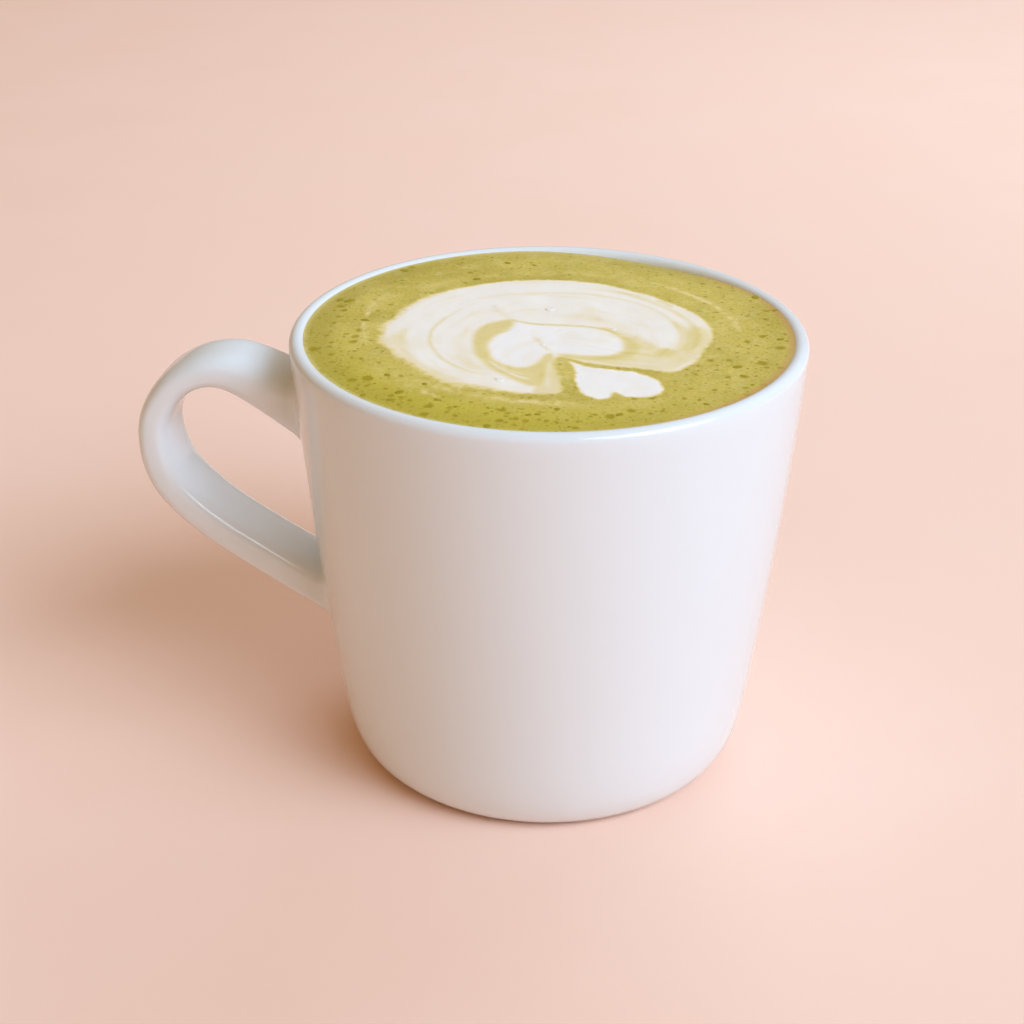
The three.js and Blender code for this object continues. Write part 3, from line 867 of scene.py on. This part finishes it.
def bubbleTree():
    tree = bpy.data.node_groups.new("bubbles on the foam", "GeometryNodeTree")
    tree.interface.new_socket("Geometry", in_out="INPUT", socket_type="NodeSocketGeometry")
    for title, kind in (("Density", "Float"), ("Smallest", "Float"), ("Largest", "Float"),
                        ("Flatness", "Float"), ("Stretch", "Float"), ("Seed", "Int"), ("Skin", "Material")):
        tree.interface.new_socket(title, in_out="INPUT", socket_type="NodeSocket" + kind)
    tree.interface.new_socket("Geometry", in_out="OUTPUT", socket_type="NodeSocketGeometry")
    given = addNode(tree, "NodeGroupInput").outputs
    allowed = addNode(tree, "GeometryNodeInputNamedAttribute", {"Name": "bubbleShare"}, data_type="FLOAT")
    density = addNode(tree, "ShaderNodeMath", {0: allowed, 1: given["Density"]}, operation="MULTIPLY")
    points = addNode(tree, "GeometryNodeDistributePointsOnFaces", {
        "Mesh": given["Geometry"], "Density": density, "Seed": given["Seed"]})
    segments, rings = bubbleSizes["dome"]
    dome = addNode(tree, "GeometryNodeMeshUVSphere", {"Segments": segments, "Rings": rings, "Radius": 1.0})

    # most bubbles are small, a few are large, and each is drawn out a little its own way
    chance = addNode(tree, "FunctionNodeRandomValue", {"Seed": given["Seed"]}, data_type="FLOAT").outputs[1]
    rarely = addNode(tree, "ShaderNodeMath", {0: chance, 1: bubbleSizes["rarity"]}, operation="POWER")
    size = addNode(tree, "ShaderNodeMapRange", {"Value": rarely, "To Min": given["Smallest"],
                                                "To Max": given["Largest"]})
    long = addNode(tree, "FunctionNodeRandomValue", {2: 1.0, 3: given["Stretch"], "Seed": given["Seed"]},
                   data_type="FLOAT").outputs[1]
    length = addNode(tree, "ShaderNodeMath", {0: size, 1: long}, operation="MULTIPLY")
    low = addNode(tree, "ShaderNodeMath", {0: size, 1: given["Flatness"]}, operation="MULTIPLY")
    scale = addNode(tree, "ShaderNodeCombineXYZ", {0: length, 1: size, 2: low})
    turn = addNode(tree, "FunctionNodeRandomValue", {0: (0, 0, 0), 1: (0, 0, math.pi),
                                                     "Seed": given["Seed"]}, data_type="FLOAT_VECTOR")
    placed = addNode(tree, "GeometryNodeInstanceOnPoints", {
        "Points": points, "Instance": dome, "Rotation": turn, "Scale": scale})
    real = addNode(tree, "GeometryNodeRealizeInstances", {"Geometry": placed})
    skinned = addNode(tree, "GeometryNodeSetMaterial", {"Geometry": real, "Material": given["Skin"]})
    addNode(tree, "NodeGroupOutput", {"Geometry": skinned})
    return tree


def foamBubbles():
    s = bubbleSizes
    share = bubbly * (rimGap > s["clearOfWall"]) * (edge < s["clearOfMilk"]) * smooth(*s["from"], fromAxis)
    carrier = makePiece("foam_bubbles", (drinkVerts + [axisX, 0, 0]) * mm, drinkFaces, foamMaterial,
                        {"bubbleShare": share})
    tree = bubbleTree()
    modifier = carrier.modifiers.new("bubbles", "NODES")
    modifier.node_group = tree
    sockets = {item.name: item.identifier for item in tree.interface.items_tree if item.in_out == "INPUT"}
    for title, value in (("Density", s["perSquareMm"] / mm ** 2), ("Smallest", s["smallest"] * mm),
                         ("Largest", s["largest"] * mm), ("Flatness", s["flatness"]),
                         ("Stretch", s["stretch"]), ("Seed", s["seed"])):
        modifier[sockets[title]] = value
    modifier[sockets["Skin"]] = bubbleSkin("tea_bubble_skin", s["olive"], s["oliveRoughness"])
    seen = carrier.evaluated_get(bpy.context.evaluated_depsgraph_get())
    mesh = bpy.data.meshes.new_from_object(seen)
    carrier.modifiers.clear()
    carrier.data = mesh
    mesh.name = "foam_bubbles"
    mesh.polygons.foreach_set("use_smooth", [True] * len(mesh.polygons))
    return carrier


def milkBubbles():
    s = bubbleSizes
    turn = math.radians(drinkSizes["artTurn"])
    verts, faces = [], []
    height = s["inMilkHeight"]
    for x, y, radius in s["inMilk"]:
        profile = [(0, s["inMilkSunk"] * radius)]
        for angle in np.linspace(*s["inMilkArc"]):
            profile.append((radius * math.cos(angle), height * radius * math.sin(angle)))
        profile += [(0, height * radius)]
        dome, domeFaces = turned(profile, s["inMilkAround"])
        px = x * math.cos(turn) - y * math.sin(turn) + axisX
        py = x * math.sin(turn) + y * math.cos(turn)
        distance = np.where(rimGap > 0, np.hypot(art[:, 0] - x, art[:, 1] - y), np.inf)
        level = drinkVerts[np.argmin(distance), 2]
        faces += [tuple(v + sum(map(len, verts)) for v in face) for face in domeFaces]
        verts.append(dome + [px, py, level])
    skin = bubbleSkin("milk_bubble_skin", s["clear"], s["clearRoughness"])
    return makePiece("milk_bubbles", np.vstack(verts) * mm, faces, skin)


foamBubblePiece = foamBubbles()
milkBubblePiece = milkBubbles()
print("bubbles made:", len(foamBubblePiece.data.vertices), "vertices")

for piece in (foamBubblePiece, milkBubblePiece):
    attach(piece, "root")
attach(mug, "root")
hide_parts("mug")
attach(drink, "root")
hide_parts("matcha_drink", "milk_ring", "milk_heart_middle", "milk_heart_small")


# uncoated paper under the mug: matt, pale peach, a little uneven
paperSizes = {"half": 1300, "mottle": (55, 4.0), "colors": ("#fcd4bf", "#fedac8"), "roughness": 0.8,
              "shine": 0.2}


def peachPaper():
    s = paperSizes
    material, tree = newMaterial("uncoated_peach_paper")
    where = addNode(tree, "ShaderNodeTexCoord").outputs["Object"]
    size, detail = s["mottle"]
    mottle = addNode(tree, "ShaderNodeTexNoise", {"Vector": where, "Scale": 1 / (size * mm),
                                                  "Detail": detail})
    color = addNode(tree, "ShaderNodeMix", {"Factor": mottle, "A": linear(s["colors"][0]),
                                            "B": linear(s["colors"][1])}, data_type="RGBA")
    shader = addNode(tree, "ShaderNodeBsdfPrincipled", {
        "Base Color": color.outputs["Result"], "Roughness": s["roughness"], "Specular IOR Level": s["shine"]})
    addNode(tree, "ShaderNodeOutputMaterial", {"Surface": shader})
    half = s["half"] * mm
    verts = [(-half, -half, 0), (half, -half, 0), (half, half, 0), (-half, half, 0)]
    return makePiece("floor", verts, [(0, 1, 2, 3)], material)


peachPaper()

# two large windows to the right give cool daylight and two small ones the glints on the lip,
# matt lamps lift the background, and the room is warm
lightSizes = {
    "lamps": [
        {"name": "window", "bearing": -24, "height": 40, "size": 1540, "power": 37.91},
        {"name": "windowInFront", "bearing": -42, "height": 42, "size": 1540, "power": 27.33},
        {"name": "behind", "bearing": 70, "height": 30, "size": 2060, "power": 23.8, "matt": True},
        {"name": "backLeft", "bearing": 120, "height": 40, "size": 2060, "power": 4.11, "matt": True},
        {"name": "onBackground", "bearing": 90, "height": 86, "size": 300, "power": 0.25, "matt": True,
         "aim": (200, 480, 0), "away": 800, "spread": 70},
        {"name": "glintRight", "bearing": -54, "height": 45, "size": 190, "power": 0.47},
        {"name": "glintLeft", "bearing": -113, "height": 45, "size": 190, "power": 0.47},
    ],
    "daylight": "#c6e3ff",
    "away": 2400,
    "aim": (15, 0, 30),
    "room": "#ffd18a",
    "roomStrength": 0.376,
    "behindPaper": "#eccfbe",
}


def addLamp(s):
    bearing = math.radians(s["bearing"])
    height = math.radians(s["height"])
    towards = Vector((math.cos(height) * math.cos(bearing), math.cos(height) * math.sin(bearing),
                      math.sin(height)))
    lamp = bpy.data.lights.new(s["name"], "AREA")
    lamp.shape = "DISK"
    lamp.size = s["size"] * mm
    lamp.energy = s["power"]
    lamp.color = linear(lightSizes["daylight"])[:3]
    lamp.spread = math.radians(s.get("spread", 180))
    lampObject = bpy.data.objects.new(s["name"], lamp)
    lampObject.visible_glossy = not s.get("matt", False)  # a matt lamp shows in no reflection
    place = (Vector(s.get("aim", lightSizes["aim"])) + towards * s.get("away", lightSizes["away"])) * mm
    facing = towards.to_track_quat("Z", "Y").to_matrix().to_4x4()
    lampObject.matrix_world = Matrix.Translation(place) @ facing
    bpy.context.scene.collection.objects.link(lampObject)


for lampSizes in lightSizes["lamps"]:
    addLamp(lampSizes)

world = bpy.data.worlds.new("studio")
world.use_nodes = True
world.node_tree.nodes.clear()
room = addNode(world.node_tree, "ShaderNodeBackground", {"Color": linear(lightSizes["room"]),
                                                         "Strength": lightSizes["roomStrength"]})
behindPaper = addNode(world.node_tree, "ShaderNodeBackground",
                      {"Color": linear(lightSizes["behindPaper"])})
# past the edge of the paper low views see more paper, while the light is the room's
seen = addNode(world.node_tree, "ShaderNodeLightPath").outputs["Is Camera Ray"]
sky = addNode(world.node_tree, "ShaderNodeMixShader", {0: seen, 1: room, 2: behindPaper})
addNode(world.node_tree, "ShaderNodeOutputWorld", {"Surface": sky})
bpy.context.scene.world = world

# camera as fitted to the photograph: place from the mug's axis, pitch down, turn to the left and roll
cameraSizes = {"place": (32.24, -290.58, 195.08), "lens": 63.28, "sensor": 36, "nearest": 10,
               "pitch": 27.155, "turn": 7.56, "roll": 0.136}
camera = bpy.data.cameras.new("camera")
camera.sensor_width = cameraSizes["sensor"]
camera.lens = cameraSizes["lens"]
camera.clip_start = cameraSizes["nearest"] * mm
cameraObject = bpy.data.objects.new("camera", camera)
x, y, z = cameraSizes["place"]
cameraObject.matrix_world = (Matrix.Translation([(x + axisX) * mm, y * mm, z * mm])
                             @ Matrix.Rotation(math.radians(cameraSizes["turn"]), 4, "Z")
                             @ Matrix.Rotation(math.radians(90 - cameraSizes["pitch"]), 4, "X")
                             @ Matrix.Rotation(math.radians(cameraSizes["roll"]), 4, "Z"))
bpy.context.scene.collection.objects.link(cameraObject)
bpy.context.scene.camera = cameraObject
bpy.context.scene.view_settings.view_transform = "Standard"
print("lights and camera set")
